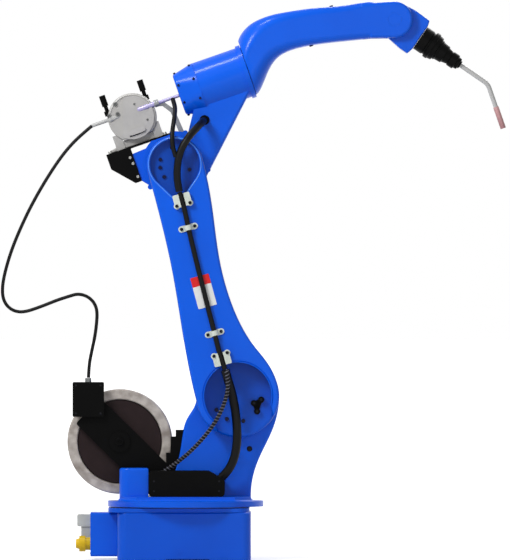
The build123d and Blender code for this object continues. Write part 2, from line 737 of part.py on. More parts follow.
def feeder():
    """The wire feeder on its shelf, with levers, inlet, outlet tube and drive motor."""
    shelf_high = shelf_low + shelf_thickness
    half = shelf_half_width
    bracket = box_between((shelf_start, -half, shelf_low), (shelf_end, half, shelf_high))
    side = make_face(Polyline((shelf_start, shelf_high), (shelf_start, gusset_drop), (gusset_toe, rear_face_low),
                              (rear_face_x, rear_face_low), (rear_face_x, shelf_high), close=True))
    for near in (-half, half - gusset_thickness):
        bracket += plate(side, near, near + gusset_thickness)
    bracket += box_between((rear_face_x - gusset_thickness, -half, rear_face_low), (rear_face_x, half, shelf_high))
    parts["feeder_bracket"] = elbow_frame * bracket

    guide = Polyline((inlet_end, 0), (inlet_end, inlet_radius), (guide_start, inlet_radius),
                     (guide_shoulder, guide_radius), (guide_tip, guide_tip_radius), (guide_tip, 0), close=True)
    inlet = Pos(0, wire_y, wire_z) * revolve(Plane.XZ * make_face(guide), Axis.X)
    pipe = Polyline((outlet_start, 0), (outlet_start, outlet_radius_wide), (outlet_neck, outlet_radius_wide),
                    (outlet_neck, tube_radius), (cover_start, tube_radius), (cover_start, 0), close=True)
    outlet = Pos(0, wire_y, wire_z) * revolve(Plane.XZ * make_face(pipe), Axis.X)

    centre = Pos(feeder_x, feeder_z)
    outline = centre * Circle(feeder_radius)
    outline -= Pos(feeder_x, feeder_z - feeder_flat - feeder_radius) * Rectangle(3 * feeder_radius, 2 * feeder_radius)
    body = plate(outline, feeder_near, feeder_far)
    body = fillet(body.faces().sort_by(Axis.Y)[0].edges(), feeder_rim)
    for x in feeder_foot_places:
        body += box_between((x - feeder_foot_width / 2, feeder_near + feeder_foot_inset, shelf_high),
                            (x + feeder_foot_width / 2, feeder_far - feeder_foot_inset, feeder_foot_top))
    body = body - inlet - outlet
    parts["feeder_body"] = elbow_frame * body
    parts["feeder_inlet"] = elbow_frame * inlet
    parts["outlet_tube"] = elbow_frame * outlet

    door = centre * Circle(door_radius)
    opening = Pos(*door_edge) * Rot(0, 0, -forearm_rise) * Pos(door_radius, 0) * Rectangle(
        2 * door_radius, 4 * door_radius)
    cover = plate(door & opening, feeder_near - door_height, feeder_near)
    latch = Pos(*latch_place) * SlotOverall(latch_length, latch_width)
    cover += plate(latch, feeder_near - latch_height, feeder_near)
    parts["feeder_cover"] = elbow_frame * (cover - inlet - outlet)
    motor_end = feeder_far + feeder_motor_length
    parts["feeder_motor"] = elbow_frame * plate(centre * Circle(feeder_motor_radius), feeder_far, motor_end)

    for name, (x, z) in zip(("rear_lever", "front_lever"), lever_places):
        knob = slab(Circle(lever_stem_radius), 0, lever_length)
        knob += slab(Circle(lever_radius), lever_stem_length, lever_length)
        lever = Pos(x, lever_y, z) * (knob + Box(*lever_ear))
        parts[name] = elbow_frame * (lever - body)


def forearm():
    """The arched forearm casting, lofted through rounded sections, with the fork that holds the wrist."""
    sections = []
    for past, half, low, high, corner in forearm_stations:
        x = drive_flange_end + forearm_gap + past
        size = RectangleRounded(2 * half, high - low, corner)
        sections.append(Plane.YZ.offset(x) * Pos(0, (low + high) / 2) * size)
    casting = loft(sections)

    wrist_axis = Pos(forearm_reach, elbow_offset)
    start_x = drive_flange_end + forearm_gap + fork_start
    ends = [station[2:4] for station in forearm_stations[-2:]]
    last = forearm_stations[-1][0]
    share = (fork_start - forearm_stations[-2][0]) / (last - forearm_stations[-2][0])
    low, high = [a + (b - a) * share for a, b in zip(*ends)]
    nose = hull((forearm_reach, elbow_offset, wrist_lobe_radius), (start_x, low + wrist_lobe_edge, wrist_lobe_edge),
                (start_x, high - wrist_lobe_edge, wrist_lobe_edge))
    fork = plate(nose, -cheek_outer, cheek_outer)
    fork = fillet([edge for face in (Axis.Y, -Axis.Y) for edge in fork.faces().sort_by(face)[0].edges()],
                  wrist_lobe_edge - 1)
    casting += fork
    casting -= plate(wrist_axis * Circle(wrist_slot_radius), -cheek_inner, cheek_inner)
    casting -= plate(wrist_axis * Circle(wrist_bore_radius), -2 * cheek_outer, 2 * cheek_outer)
    parts["forearm_casting"] = elbow_frame * casting


def wrist():
    """The wrist block between the forearm's cheeks, in the wrist's frame."""
    face = make_face(Polyline(*wrist_outline, close=True))
    face = fillet(face.vertices(), wrist_edge)
    block = plate(face, -wrist_half_width, wrist_half_width)
    block = fillet([edge for side in (Axis.Y, -Axis.Y) for edge in block.faces().sort_by(side)[0].edges()],
                   wrist_edge - 1)
    pivot = Circle(wrist_pivot_radius)
    block += plate(pivot, -cheek_inner + seat_gap, cheek_inner - seat_gap)
    block += plate(Circle(wrist_bore_radius - seat_gap), -cheek_outer, cheek_outer)
    parts["wrist_block"] = wrist_frame * block


def torch():
    """The torch: collision mount, cone, bent neck and nozzle."""
    start = wrist_front + tool_gap
    outline = [(start + along, radius) for along, radius in torch_profile]
    neck_start = outline[-1][0]
    profile = Polyline((start, 0), *outline, (neck_start, 0), close=True)
    parts["torch_mount"] = wrist_frame * revolve(Plane.XZ * make_face(profile), Axis.X)

    bend = Vector(neck_start + neck_bend_x, 0, 0)
    droop = math.radians(neck_droop)
    along = Vector(math.cos(droop), 0, -math.sin(droop))
    end = bend + along * (neck_bend_radius + neck_rest)
    line = FilletPolyline(Vector(neck_start, 0, 0), bend, end, radius=neck_bend_radius)
    neck = sweep(Plane(origin=(neck_start, 0, 0), z_dir=(1, 0, 0)) * Circle(neck_radius), path=line)
    parts["torch_neck"] = wrist_frame * neck
    tip = Plane(origin=end, x_dir=(0, 1, 0), z_dir=along)
    cup = extrude(tip * Circle(nozzle_radius), amount=nozzle_length)
    bore = tip.offset(nozzle_length - nozzle_depth) * Circle(nozzle_radius - nozzle_wall)
    cup -= extrude(bore, amount=2 * nozzle_depth)
    parts["torch_nozzle"] = wrist_frame * cup


def tube_bracket():
    """The bent strap that carries the outlet tube, standing on the elbow casting."""
    strap = make_face(Polyline(*strap_outline, close=True))
    strap_near = wire_y + outlet_radius_wide
    bracket = plate(strap, strap_near, strap_near + strap_thickness)
    ring = Pos(wire_y, wire_z) * (Circle(outlet_radius_wide + strap_ring_wall)
                                  - Circle(outlet_radius_wide + seat_gap))
    ring_end = outlet_neck - 1
    bracket += bar_x(ring, ring_end - strap_ring_width, ring_end)
    parts["tube_bracket"] = elbow_frame * bracket - parts["elbow_casting"]


def moved(points, start, shift=Vector(0, 0, 0)):
    """Points counted from a start, plus a shift that fades from the whole at the first to none at the last."""
    last = len(points) - 1
    return [tuple(start + Vector(*point) + shift * ((last - i) / last)) for i, point in enumerate(points)]


def cables():
    """The cables that bend past the shoulder and the elbow, the feeder's lead and the free wire conduit."""
    shoulder = Vector(shoulder_x, 0, shoulder_z)
    cable("shoulder_cable", moved(shoulder_cable_route, shoulder), shoulder_cable_radius)
    cable("spiral_cable", moved(spiral_cable_route, shoulder), spiral_cable_radius)
    for name in ("shoulder_cable", "spiral_cable"):
        parts[name] -= parts["cable_box"]
    cable("elbow_cable", moved(elbow_cable_route, elbow_point), elbow_cable_radius)
    parts["elbow_cable"] -= parts["elbow_casting"]
    parts["elbow_cable"] -= parts["drive_cover"]
    cable("feeder_lead", lead_route, lead_radius, elbow_frame)
    parts["feeder_lead"] = parts["feeder_lead"] - parts["elbow_cable"] - parts["outlet_tube"]

    outlet = Vector(outlet_x, outlet_y, outlet_box_top + outlet_height)
    inlet = (elbow_frame * Location((inlet_end, wire_y, wire_z))).position
    shift = inlet - outlet - Vector(*conduit_upper_route[0])
    cable("conduit_upper", moved(conduit_upper_route, outlet, shift), conduit_radius)
    parts["conduit_upper"] -= parts["feeder_inlet"]
    cable("conduit_lower", moved(conduit_lower_route, outlet), conduit_radius)
    parts["conduit_lower"] -= parts["conduit_upper"]


base()
turret()
spool_group()
lower_arm()
arm_fittings()
elbow()
feeder()
forearm()
wrist()
torch()
tube_bracket()
cables()

os.makedirs("parts", exist_ok=True)
for name, shape in parts.items():
    export_step(shape, f"parts/{name}.step")
print(len(parts), "pieces")
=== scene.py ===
import bpy
import json
import math
import numpy as np
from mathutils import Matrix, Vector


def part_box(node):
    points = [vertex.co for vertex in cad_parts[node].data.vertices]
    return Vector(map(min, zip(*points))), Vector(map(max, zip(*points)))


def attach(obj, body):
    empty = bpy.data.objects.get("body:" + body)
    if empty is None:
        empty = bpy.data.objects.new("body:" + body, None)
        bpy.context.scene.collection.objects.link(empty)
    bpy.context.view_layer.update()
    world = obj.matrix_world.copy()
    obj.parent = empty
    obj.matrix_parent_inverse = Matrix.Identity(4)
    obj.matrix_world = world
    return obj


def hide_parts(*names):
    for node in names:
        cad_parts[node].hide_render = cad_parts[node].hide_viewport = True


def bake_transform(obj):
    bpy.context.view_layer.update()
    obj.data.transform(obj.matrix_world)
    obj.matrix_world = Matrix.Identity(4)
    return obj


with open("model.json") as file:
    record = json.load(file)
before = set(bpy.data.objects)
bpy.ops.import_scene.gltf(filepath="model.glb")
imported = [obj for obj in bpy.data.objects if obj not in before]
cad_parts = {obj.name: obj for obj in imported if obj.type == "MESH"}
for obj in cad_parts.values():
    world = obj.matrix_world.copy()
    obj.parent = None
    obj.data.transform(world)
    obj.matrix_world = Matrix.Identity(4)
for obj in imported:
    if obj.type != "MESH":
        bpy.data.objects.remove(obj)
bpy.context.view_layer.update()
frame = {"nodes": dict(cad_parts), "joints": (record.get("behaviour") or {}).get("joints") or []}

# The camera stands far off on the near side with a long lens, level with the middle of the arm.
# The picture is 510 by 560 pixels, and one pixel is 3.53 mm on the plane of the cables.
# The waist's turning axis stands 185.5 pixels from the picture's left edge.
MM = 0.001
PICTURE_WIDTH = 510
PICTURE_HEIGHT = 560
MM_PER_PIXEL = 3.53
WAIST_PIXEL_X = 185.5
LENS_MM = 700.0
SENSOR_MM = 36.0
CABLE_PLANE_Y = -0.10
picture_metres = PICTURE_HEIGHT * MM_PER_PIXEL * MM
camera_distance = picture_metres * LENS_MM / SENSOR_MM
camera_x = (PICTURE_WIDTH / 2 - WAIST_PIXEL_X) * MM_PER_PIXEL * MM

scene = bpy.context.scene
scene.view_settings.view_transform = "Standard"


def link(thing):
    """Puts a new object into the scene and hands it back."""
    scene.collection.objects.link(thing)
    return thing


camera = link(bpy.data.objects.new("camera", bpy.data.cameras.new("camera")))
camera.data.lens = LENS_MM
camera.data.sensor_width = SENSOR_MM
camera.data.clip_end = 300.0
camera.location = (camera_x, CABLE_PLANE_Y - camera_distance, picture_metres / 2)
camera.rotation_euler = (math.pi / 2, 0, 0)
scene.camera = camera

# Studio lamps: a soft key from the upper left, a wide front light, a small one overhead and one behind.
# Their powers, with the pale sky, light a matt surface that faces the camera at about its own colour.
STUDIO_LAMPS = {
    # name: place, point it lights, side in metres, watts
    "key_lamp": ((-2.6, -3.2, 4.0), (0.1, 0.0, 1.1), 1.2, 172),
    "front_lamp": ((1.6, -5.0, 1.8), (0.2, 0.0, 1.0), 3.0, 30),
    "top_lamp": ((-0.9, -0.8, 4.6), (0.0, 0.0, 1.4), 0.45, 34),
    "back_lamp": ((1.5, 3.2, 3.8), (0.2, 0.0, 1.2), 2.4, 120),
}
for name, (place, aim, side, watts) in STUDIO_LAMPS.items():
    lamp = link(bpy.data.objects.new(name, bpy.data.lights.new(name, "AREA")))
    lamp.data.size = side
    lamp.data.energy = watts
    lamp.location = place
    across, deep, up = np.array(aim) - np.array(place)
    tilt = math.atan2(math.hypot(across, deep), -up)
    lamp.rotation_euler = (tilt, 0, math.atan2(deep, across) - math.pi / 2)

# The sky is a plain pale dome. The camera and mirrors see it as white, and it lights the arm much less.
SKY_LEVEL = 0.30
world = bpy.data.worlds.new("studio")
scene.world = world
world.use_nodes = True
sky = world.node_tree.nodes["Background"]
sky.inputs["Color"].default_value = (1, 1, 1, 1)
ray = world.node_tree.nodes.new("ShaderNodeLightPath")
white_rays = [ray.outputs[kind] for kind in ("Is Camera Ray", "Is Glossy Ray", "Is Transmission Ray")]
for other in (1, 2):
    both = world.node_tree.nodes.new("ShaderNodeMath")
    both.operation = "MAXIMUM"
    world.node_tree.links.new(white_rays[0], both.inputs[0])
    world.node_tree.links.new(white_rays[other], both.inputs[1])
    white_rays[0] = both.outputs[0]
level = world.node_tree.nodes.new("ShaderNodeMapRange")
level.inputs["To Min"].default_value = SKY_LEVEL
level.inputs["To Max"].default_value = 1.0
world.node_tree.links.new(white_rays[0], level.inputs["Value"])
world.node_tree.links.new(level.outputs[0], sky.inputs["Strength"])


# Floor: a pale matt sheet that runs out of sight. It glows for the camera and for mirrors,
# so that it shows as plain white, and the arm's shadow still darkens it.
class Wire:
    """One output of a node, with Python's arithmetic written as Math nodes."""

    def __init__(self, tree, socket):
        self.tree = tree
        self.socket = socket

    def math(self, operation, first, second=0.0):
        node = self.tree.nodes.new("ShaderNodeMath")
        node.operation = operation
        for slot, value in zip(node.inputs, (first, second)):
            if isinstance(value, Wire):
                self.tree.links.new(value.socket, slot)
            else:
                slot.default_value = value
        return Wire(self.tree, node.outputs[0])

    def __add__(self, other):
        return self.math("ADD", self, other)

    def __radd__(self, other):
        return self.math("ADD", other, self)

    def __sub__(self, other):
        return self.math("SUBTRACT", self, other)

    def __rsub__(self, other):
        return self.math("SUBTRACT", other, self)

    def __mul__(self, other):
        return self.math("MULTIPLY", self, other)

    def above(self, limit):
        """1 where the value is over a limit, else 0."""
        return self.math("GREATER_THAN", self, limit)

    def larger(self, other):
        """The larger of two values."""
        return self.math("MAXIMUM", self, other)

    def smaller(self, other):
        """The smaller of two values."""
        return self.math("MINIMUM", self, other)


class Finish:
    """One Principled shader. A value that is the same all over goes straight onto its socket."""

    def __init__(self, name, **uniform):
        self.material = bpy.data.materials.new(name)
        self.material.use_nodes = True
        self.tree = self.material.node_tree
        self.shader = self.tree.nodes["Principled BSDF"]
        for key, value in uniform.items():
            self.set(key.replace("_", " "), value)

    def set(self, socket, value):
        """Gives the shader's socket of that name a plain value or a wire."""
        names = {slot.name.lower(): slot for slot in self.shader.inputs}
        slot = names[socket.lower()]
        if isinstance(value, Wire):
            self.tree.links.new(value.socket, slot)
        else:
            slot.default_value = value

    def node(self, kind, settings=None, output=0, **inputs):
        """Adds a node of any kind: its settings first, then the values or wires of its sockets."""
        node = self.tree.nodes.new("ShaderNode" + kind)
        for key, value in (settings or {}).items():
            setattr(node, key, value)
        for key, value in inputs.items():
            slot = node.inputs[int(key[2:])] if key.startswith("at") else node.inputs[key]
            if isinstance(value, Wire):
                self.tree.links.new(value.socket, slot)
            else:
                slot.default_value = value
        return Wire(self.tree, node.outputs[output])

    def place(self):
        """Object coordinates, in metres."""
        return self.node("TexCoord", output=3)

    def part(self, axis):
        """One of the three object coordinates: 0 is X, 1 is Y and 2 is Z."""
        return self.node("SeparateXYZ", output=axis, Vector=self.place())

    def noise(self, scale, detail=2.0):
        """Smooth noise from 0 to 1, with a number of cells per metre."""
        return self.node("TexNoise", Vector=self.place(), Scale=scale, Detail=detail)

    def tint(self, mask, plain, marked):
        """Goes from one colour to another where a mask goes from 0 to 1. A colour may be a wire."""
        plain, marked = (value if isinstance(value, Wire) else (*value, 1) for value in (plain, marked))
        return self.node("Mix", {"data_type": "RGBA"}, 2, at0=mask, at6=plain, at7=marked)

    def bump(self, height, depth, strength=0.5):
        """Turns a height from 0 to 1 into a normal. The depth is in metres."""
        self.set("normal", self.node("Bump", Height=height, Distance=depth, Strength=strength))


def mesh_piece(name, points, faces, material, smooth_degrees=35.0):
    """A mesh object from an array of points and an array of four-cornered faces."""
    mesh = bpy.data.meshes.new(name)
    mesh.vertices.add(len(points))
    mesh.vertices.foreach_set("co", np.asarray(points, np.float32).ravel())
    mesh.loops.add(faces.size)
    mesh.loops.foreach_set("vertex_index", faces.astype(np.int32).ravel())
    mesh.polygons.add(len(faces))
    mesh.polygons.foreach_set("loop_start", np.arange(0, faces.size, 4, dtype=np.int32))
    mesh.polygons.foreach_set("use_smooth", np.ones(len(faces), bool))
    mesh.update(calc_edges=True)
    mesh.validate()
    mesh.set_sharp_from_angle(angle=math.radians(smooth_degrees))
    mesh.materials.append(material)
    return link(bpy.data.objects.new(name, mesh))


FLOOR_HALF = 140.0
FLOOR_WHITE = (0.80, 0.80, 0.80)
FLOOR_GLOW_NEAR = 0.45
FLOOR_GLOW_FAR = 1.0
FLOOR_NEAR_EDGE = 1.6
FLOOR_FAR_EDGE = 4.0
SEEN_BY_CAMERA, SEEN_BY_GLOSS, SEEN_BY_GLASS = 0, 3, 6
floor_finish = Finish("pale_floor", roughness=0.95, specular_ior_level=0.1, emission_strength=1.0)
floor_finish.set("base color", (*FLOOR_WHITE, 1))
floor_seen = floor_finish.node("LightPath", output=SEEN_BY_CAMERA)
for kind in (SEEN_BY_GLOSS, SEEN_BY_GLASS):
    floor_seen = floor_seen.larger(floor_finish.node("LightPath", output=kind))
from_arm = floor_finish.node("VectorMath", {"operation": "LENGTH"}, 1, at0=floor_finish.place())
glow = floor_finish.node("MapRange", at0=from_arm, at1=FLOOR_NEAR_EDGE, at2=FLOOR_FAR_EDGE,
                         at3=FLOOR_GLOW_NEAR, at4=FLOOR_GLOW_FAR)
floor_finish.set("emission color", floor_seen * glow)
floor_corners = FLOOR_HALF * np.array([(-1, -1, 0), (1, -1, 0), (1, 1, 0), (-1, 1, 0)])
mesh_piece("floor", floor_corners, np.array([[0, 1, 2, 3]]), floor_finish.material)


# Base: a box-shaped iron casting with rounded corners, a machined plate bolted over it and a steel ring.
# It is sprayed in a deeper blue enamel than the arm, over the casting's faintly pebbled skin.
def srgb(red, green, blue):
    """A screen colour, 0 to 255, as the shader's linear colour."""
    share = np.array([red, green, blue]) / 255.0
    return tuple(np.where(share > 0.04045, ((share + 0.055) / 1.055) ** 2.4, share / 12.92).tolist())


# Painted shade in hollows: a darkened copy of the deep shade, and how much of it is mixed in.
PAINTED_SHADE_LEVEL = 0.35
PAINTED_SHADE_SHARE = 0.6


def enamel(name, colour, shade, hollow=None):
    """Sprayed enamel: a slow drift between two shades, orange peel, a thin gloss and a mask for painted shade
    in hollows.
    """
    finish = Finish(name, roughness=0.34, specular_ior_level=0.10, coat_roughness=0.14)
    drift = finish.noise(4.5, 3.0)
    colour_wire = finish.tint(drift, colour, shade)
    # Painted shade: where the mask is 1, the colour moves part way to a darkened copy of the deep shade.
    if hollow is not None:
        painted_shade_colour = tuple(PAINTED_SHADE_LEVEL * share for share in shade)
        colour_wire = finish.tint(hollow(finish) * PAINTED_SHADE_SHARE, colour_wire, painted_shade_colour)
    finish.set("base color", colour_wire)
    finish.set("coat weight", 0.08 + finish.noise(2.2, 1.0) * 0.08)
    finish.bump(finish.noise(170.0, 2.0) + finish.noise(850.0, 2.0) * 0.3, 0.00022)
    return finish.material


def dress(material, *names):
    """Gives CAD nodes a finished material."""
    for name in names:
        mesh = frame["nodes"][name].data
        mesh.materials.clear()
        mesh.materials.append(material)


BASE_BLUE = srgb(0, 86, 213)
BASE_BLUE_DEEP = srgb(2, 72, 190)
RING_STEEL = srgb(96, 98, 102)
dress(enamel("base_enamel", BASE_BLUE, BASE_BLUE_DEEP), "base_casting", "base_top_plate")


def satin(name, colour, shade, rough, metallic=0.0, level=0.3, grain=700.0, depth=0.0001):
    """A moulded or machined finish: two drifting shades, fine grain, and roughness that drifts too."""
    finish = Finish(name, metallic=metallic, specular_ior_level=level)
    drift = finish.noise(24.0, 3.0)
    finish.set("base color", finish.tint(drift, colour, shade))
    finish.set("roughness", rough + (drift - 0.5) * 0.16)
    finish.bump(finish.noise(grain, 3.0), depth)
    return finish.material


ring_steel = satin("ring_steel", RING_STEEL, srgb(70, 72, 76), 0.35, 0.85)
dress(ring_steel, "slewing_ring")

# Connection box: a folded steel box bolted to the back of the base, in the arm's brighter blue.
# Its back panel is held by six small screws, and carries a pale plug hood and a yellow ring fitting.
ARM_BLUE = srgb(0, 93, 226)
ARM_BLUE_DEEP = srgb(1, 80, 206)
arm_enamel = enamel("arm_enamel", ARM_BLUE, ARM_BLUE_DEEP)
dress(arm_enamel, "connection_box")
dress(satin("plug_hood", srgb(206, 208, 200), srgb(168, 170, 164), 0.45, 0.0), "power_connector")
dress(satin("ring_fitting_yellow", srgb(230, 192, 16), srgb(196, 160, 14), 0.36), "air_fitting")


def rings(side, other, around):
    """Unit circles, one for each pair of square directions: the cosine along the first plus the sine along
    the second, at even angles."""
    angle = np.arange(around) * 2 * np.pi / around
    return side[:, None, :] * np.cos(angle)[None, :, None] + other[:, None, :] * np.sin(angle)[None, :, None]


def ring_faces(rows, around):
    """Four-cornered faces between each ring of points and the next. The last corner joins the first."""
    row, turn = np.meshgrid(np.arange(rows - 1), np.arange(around), indexing="ij")
    after = (turn + 1) % around
    corners = (row * around + turn, row * around + after, (row + 1) * around + after, (row + 1) * around + turn)
    return np.stack(corners, axis=-1).reshape(-1, 4)


def screw_heads(places, axes, radius, height, around=18):
    """Socket screws that stand on places, each along its own axis, as points and faces.

    Each is a profile turned round the axis: up the head's side, over a chamfer, in across the top, down a
    six-sided socket and across its floor. The socket's reach is its flat width over the cosine of the angle
    from the middle of the nearest flat.
    """
    rise = np.array([0.0, 0.86, 1.0, 1.0, 0.45, 0.45])
    out = np.array([1.0, 1.0, 0.88, 0.52, 0.52, 0.0])
    in_socket = np.array([False, False, False, True, True, True])
    angle = np.arange(around) * 2 * np.pi / around
    six_sided = 0.88 / np.cos((angle % (np.pi / 3)) - np.pi / 6)
    reach = radius * out[:, None] * np.where(in_socket[:, None], six_sided[None, :], 1.0)
    places = np.atleast_2d(np.array(places, float))
    up = np.broadcast_to(np.array(axes, float), places.shape)
    up = up / np.linalg.norm(up, axis=1)[:, None]
    side = np.cross(up, np.where(np.abs(up[:, 1:2]) < 0.8, (0.3, 1.0, 0.2), (1.0, 0.1, 0.2)))
    side /= np.linalg.norm(side, axis=1)[:, None]
    other = np.cross(up, side)
    points = places[:, None, None, :] + reach[None, :, :, None] * rings(side, other, around)[:, None, :, :]
    points = points + (height * rise)[None, :, None, None] * up[:, None, None, :]
    rows, count = len(rise), len(places)
    first_points = np.arange(count)[:, None, None] * rows * around
    faces = (first_points + ring_faces(rows, around)[None, :, :]).reshape(-1, 4)
    return points.reshape(-1, 3), faces


def screws(name, body, material, places, axes, radius, height):
    """One object for a group of like screws on one body. Places are in metres and sizes in millimetres."""
    points, faces = screw_heads(places, axes, radius * MM, height * MM)
    piece = mesh_piece(name, points, faces, material)
    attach(piece, body)
    return piece


dark_screw = satin("dark_screw", srgb(24, 25, 30), srgb(14, 14, 18), 0.38, 0.3, 0.15)
zinc_screw = satin("zinc_screw", srgb(176, 176, 172), srgb(132, 132, 128), 0.34, 0.8)
box_low, box_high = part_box("connection_box")
box_middle = (box_low + box_high) / 2
panel_screw_in = 0.0105
panel_screws = [(box_low.x, side * (box_high.y - panel_screw_in), z) for side in (-1, 1)
                for z in (box_low.z + panel_screw_in, box_middle.z, box_high.z - panel_screw_in)]
screws("panel_screws", "base", zinc_screw, panel_screws, (-1, 0, 0), 3.2, 2.4)

# Turret: one casting with a round flange, a raised seat and an upright whose head carries the lower arm.
# A blue block and a black moulded cable box stand on its seat, and two servo motors on its far side.
dress(arm_enamel, "turret_casting", "junction_block")
dress(satin("cable_box_black", srgb(5, 5, 5), srgb(2, 2, 2), 0.5, level=0.05, grain=420.0), "cable_box")
motor_black = satin("motor_black", srgb(30, 31, 34), srgb(18, 19, 21), 0.4, level=0.25)
dress(motor_black, "shoulder_motor", "waist_motor")
tray_low, tray_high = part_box("cable_box")
tray_screw_in = 0.020
tray_screw_high = 0.055
tray_screws = [(x, tray_low.y, z) for x in (tray_low.x + tray_screw_in, tray_high.x - tray_screw_in)
               for z in (tray_low.z + tray_screw_in, tray_low.z + tray_screw_high)]
screws("cable_box_screws", "turret", dark_screw, tray_screws, (0, -1, 0), 3.5, 1.8)

HOLE_PLACE = (0.226, -0.056, 0.392)
screws("turret_plug", "turret", dark_screw, [HOLE_PLACE], (0, -1, 0), 9.6, 5.0)


def motor_screws(name, body, node, axis, seat, radius, head):
    """Four screws through a motor's round flange, at 45 degrees to its square body, on its free face."""
    low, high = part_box(node)
    middle = np.array((low + high) / 2)
    along = int(np.argmax(np.abs(axis)))
    middle[along] = seat
    turns = np.radians([45, 135, 225, 315])
    flat = [i for i in range(3) if i != along]
    places = np.tile(middle, (4, 1))
    places[:, flat[0]] += radius * np.cos(turns)
    places[:, flat[1]] += radius * np.sin(turns)
    return screws(name, body, dark_screw, places, axis, head, head)


MOTOR_FLANGE = 0.014
MOTOR_SCREWS_AT = 0.0685
waist_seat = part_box("waist_motor")[0].z + MOTOR_FLANGE
shoulder_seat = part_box("shoulder_motor")[0].y + MOTOR_FLANGE
motor_screws("waist_motor_screws", "turret", "waist_motor", (0, 0, 1), waist_seat, MOTOR_SCREWS_AT, 4.0)
motor_screws("shoulder_motor_screws", "turret", "shoulder_motor", (0, 1, 0), shoulder_seat,
             MOTOR_SCREWS_AT, 4.0)

# Wire spool: a smoky brown plastic spool in a pale grey rim, on a pin through a black steel bar.
# The wire leaves through a black folded box on the bar's end, with a grey gland on its top.
rim_finish = Finish("spool_rim", specular_ior_level=0.35)
rim_drift = (rim_finish.noise(26.0, 4.0) - 0.36) * 3.2
rim_wear = rim_drift.larger(0.0).smaller(1.0)
rim_finish.set("base color", rim_finish.tint(rim_wear, srgb(182, 175, 168), srgb(132, 123, 116)))
rim_finish.set("roughness", 0.34 + rim_drift * 0.15)
rim_finish.bump(rim_finish.noise(300.0, 2.0), 0.0002)
dress(rim_finish.material, "spool_cover")
dress(satin("spool_brown", srgb(40, 28, 29), srgb(26, 17, 18), 0.44, level=0.1), "wire_spool")
bracket_black = satin("bracket_black", srgb(4, 4, 4), srgb(2, 2, 2), 0.5, level=0.05)
dress(bracket_black, "spool_bracket", "outlet_box")
dress(satin("gland_grey", srgb(120, 122, 122), srgb(92, 94, 94), 0.35, 0.6), "outlet_fitting")
spool_low, spool_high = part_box("wire_spool")
spool_x = (spool_low.x + spool_high.x) / 2
spool_z = (spool_low.z + spool_high.z) / 2
BAR_NEAR = -0.060
PIN_WASHER = 0.008
pin_place = (spool_x, BAR_NEAR - PIN_WASHER, spool_z)
screws("spool_pin_cap", "turret", bracket_black, [pin_place], (0, -1, 0), 15.0, 9.0)
BAR_DIRECTION = (0.7135, 0.0, -0.7007)
BAR_SCREWS_AT = (0.125, 0.155)
bar_screws = [np.array([spool_x, BAR_NEAR, spool_z]) + np.array(BAR_DIRECTION) * step for step in BAR_SCREWS_AT]
screws("spool_bar_screws", "turret", bracket_black, bar_screws, (0, -1, 0), 6.0, 5.0)
outlet_low, outlet_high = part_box("outlet_box")
outlet_screw_in = 0.012
outlet_screws = [(x, outlet_low.y, z) for x in (outlet_low.x + outlet_screw_in, outlet_high.x - outlet_screw_in)
                 for z in (outlet_low.z + outlet_screw_in, outlet_high.z - outlet_screw_in)]
screws("outlet_box_screws", "turret", dark_screw, outlet_screws, (0, -1, 0), 3.5, 2.0)

# Lower arm: a long casting with a round hollow at the shoulder, open below, and a drop-shaped elbow one.
# Blue screws hold the two reducers through the hollows' floors, and three rubber buffers stop the swing.
joints = {joint["name"]: joint for joint in frame["joints"]}


def drawn_in(origin, across):
    """A maker's frame: millimetres along X, Y and Z from a joint to the whole arm's metres.

    X lies along a direction in the plane of the arm, Y stays as it is, and Z is square to both.
    """
    x_dir = np.array(across, float) / np.linalg.norm(across)
    z_dir = np.array([-x_dir[2], 0.0, x_dir[0]])
    axes = np.stack([x_dir, (0.0, 1.0, 0.0), z_dir])
    return lambda *points: np.array(origin) + MM * np.array(points, float) @ axes


shoulder_point = np.array(joints["shoulder_swing"]["pos_m"])
elbow_point = np.array(joints["elbow_swing"]["pos_m"])
arm_up = elbow_point - shoulder_point
arm_length_mm = float(np.linalg.norm(arm_up)) / MM
on_lower_arm = drawn_in(shoulder_point, (arm_up[2], 0.0, -arm_up[0]))
arm_near_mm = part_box("lower_arm_casting")[0].y / MM
SHOULDER_HOLLOW = 72.0
ELBOW_HOLLOW = 26.0
HOLLOW_FADE_FROM = 0.42
HOLLOW_FADE_OVER = 0.26
HOLLOW_LEAST = 0.1
HOLLOW_STARTS_IN = 6.0


def hollow_floor(finish):
    """1 behind the arm's near face, 0 on it, from the object's Y."""
    return finish.part(1).above((arm_near_mm + HOLLOW_STARTS_IN) * MM)


def painted_shade_in_hollows(finish):
    """Painted shade in the hollows: a mask that darkens their floors, most towards the top. The mask fades out
    down the arm's open end.
    """
    high = (finish.part(2) - HOLLOW_FADE_FROM) * (1.0 / HOLLOW_FADE_OVER)
    return hollow_floor(finish) * high.larger(HOLLOW_LEAST).smaller(1.0)


# The lower arm's enamel gets painted shade in its hollows.
lower_arm_enamel = enamel("lower_arm_enamel", ARM_BLUE, ARM_BLUE_DEEP, painted_shade_in_hollows)
dress(lower_arm_enamel, "lower_arm_casting")
rubber = satin("buffer_rubber", srgb(6, 6, 6), srgb(3, 3, 3), 0.6, level=0.05)
dress(rubber, "stop_block")
blue_screw = enamel("painted_screw", srgb(3, 16, 74), srgb(2, 10, 50))
shoulder_floor_mm = arm_near_mm + SHOULDER_HOLLOW
REDUCER_SCREWS_AT = 90
ELBOW_SCREWS = ((-45, 29), (-53, 2), (-48, -33), (45, -32), (5, 59))
BUFFERS = ((48, -39), (76, -34), (51, -70))
BUFFER_HEIGHT = 16
reducer_turns = np.radians([198.0, 229.0, 267.0])
reducer_ring = [(REDUCER_SCREWS_AT * math.cos(a), REDUCER_SCREWS_AT * math.sin(a)) for a in reducer_turns]
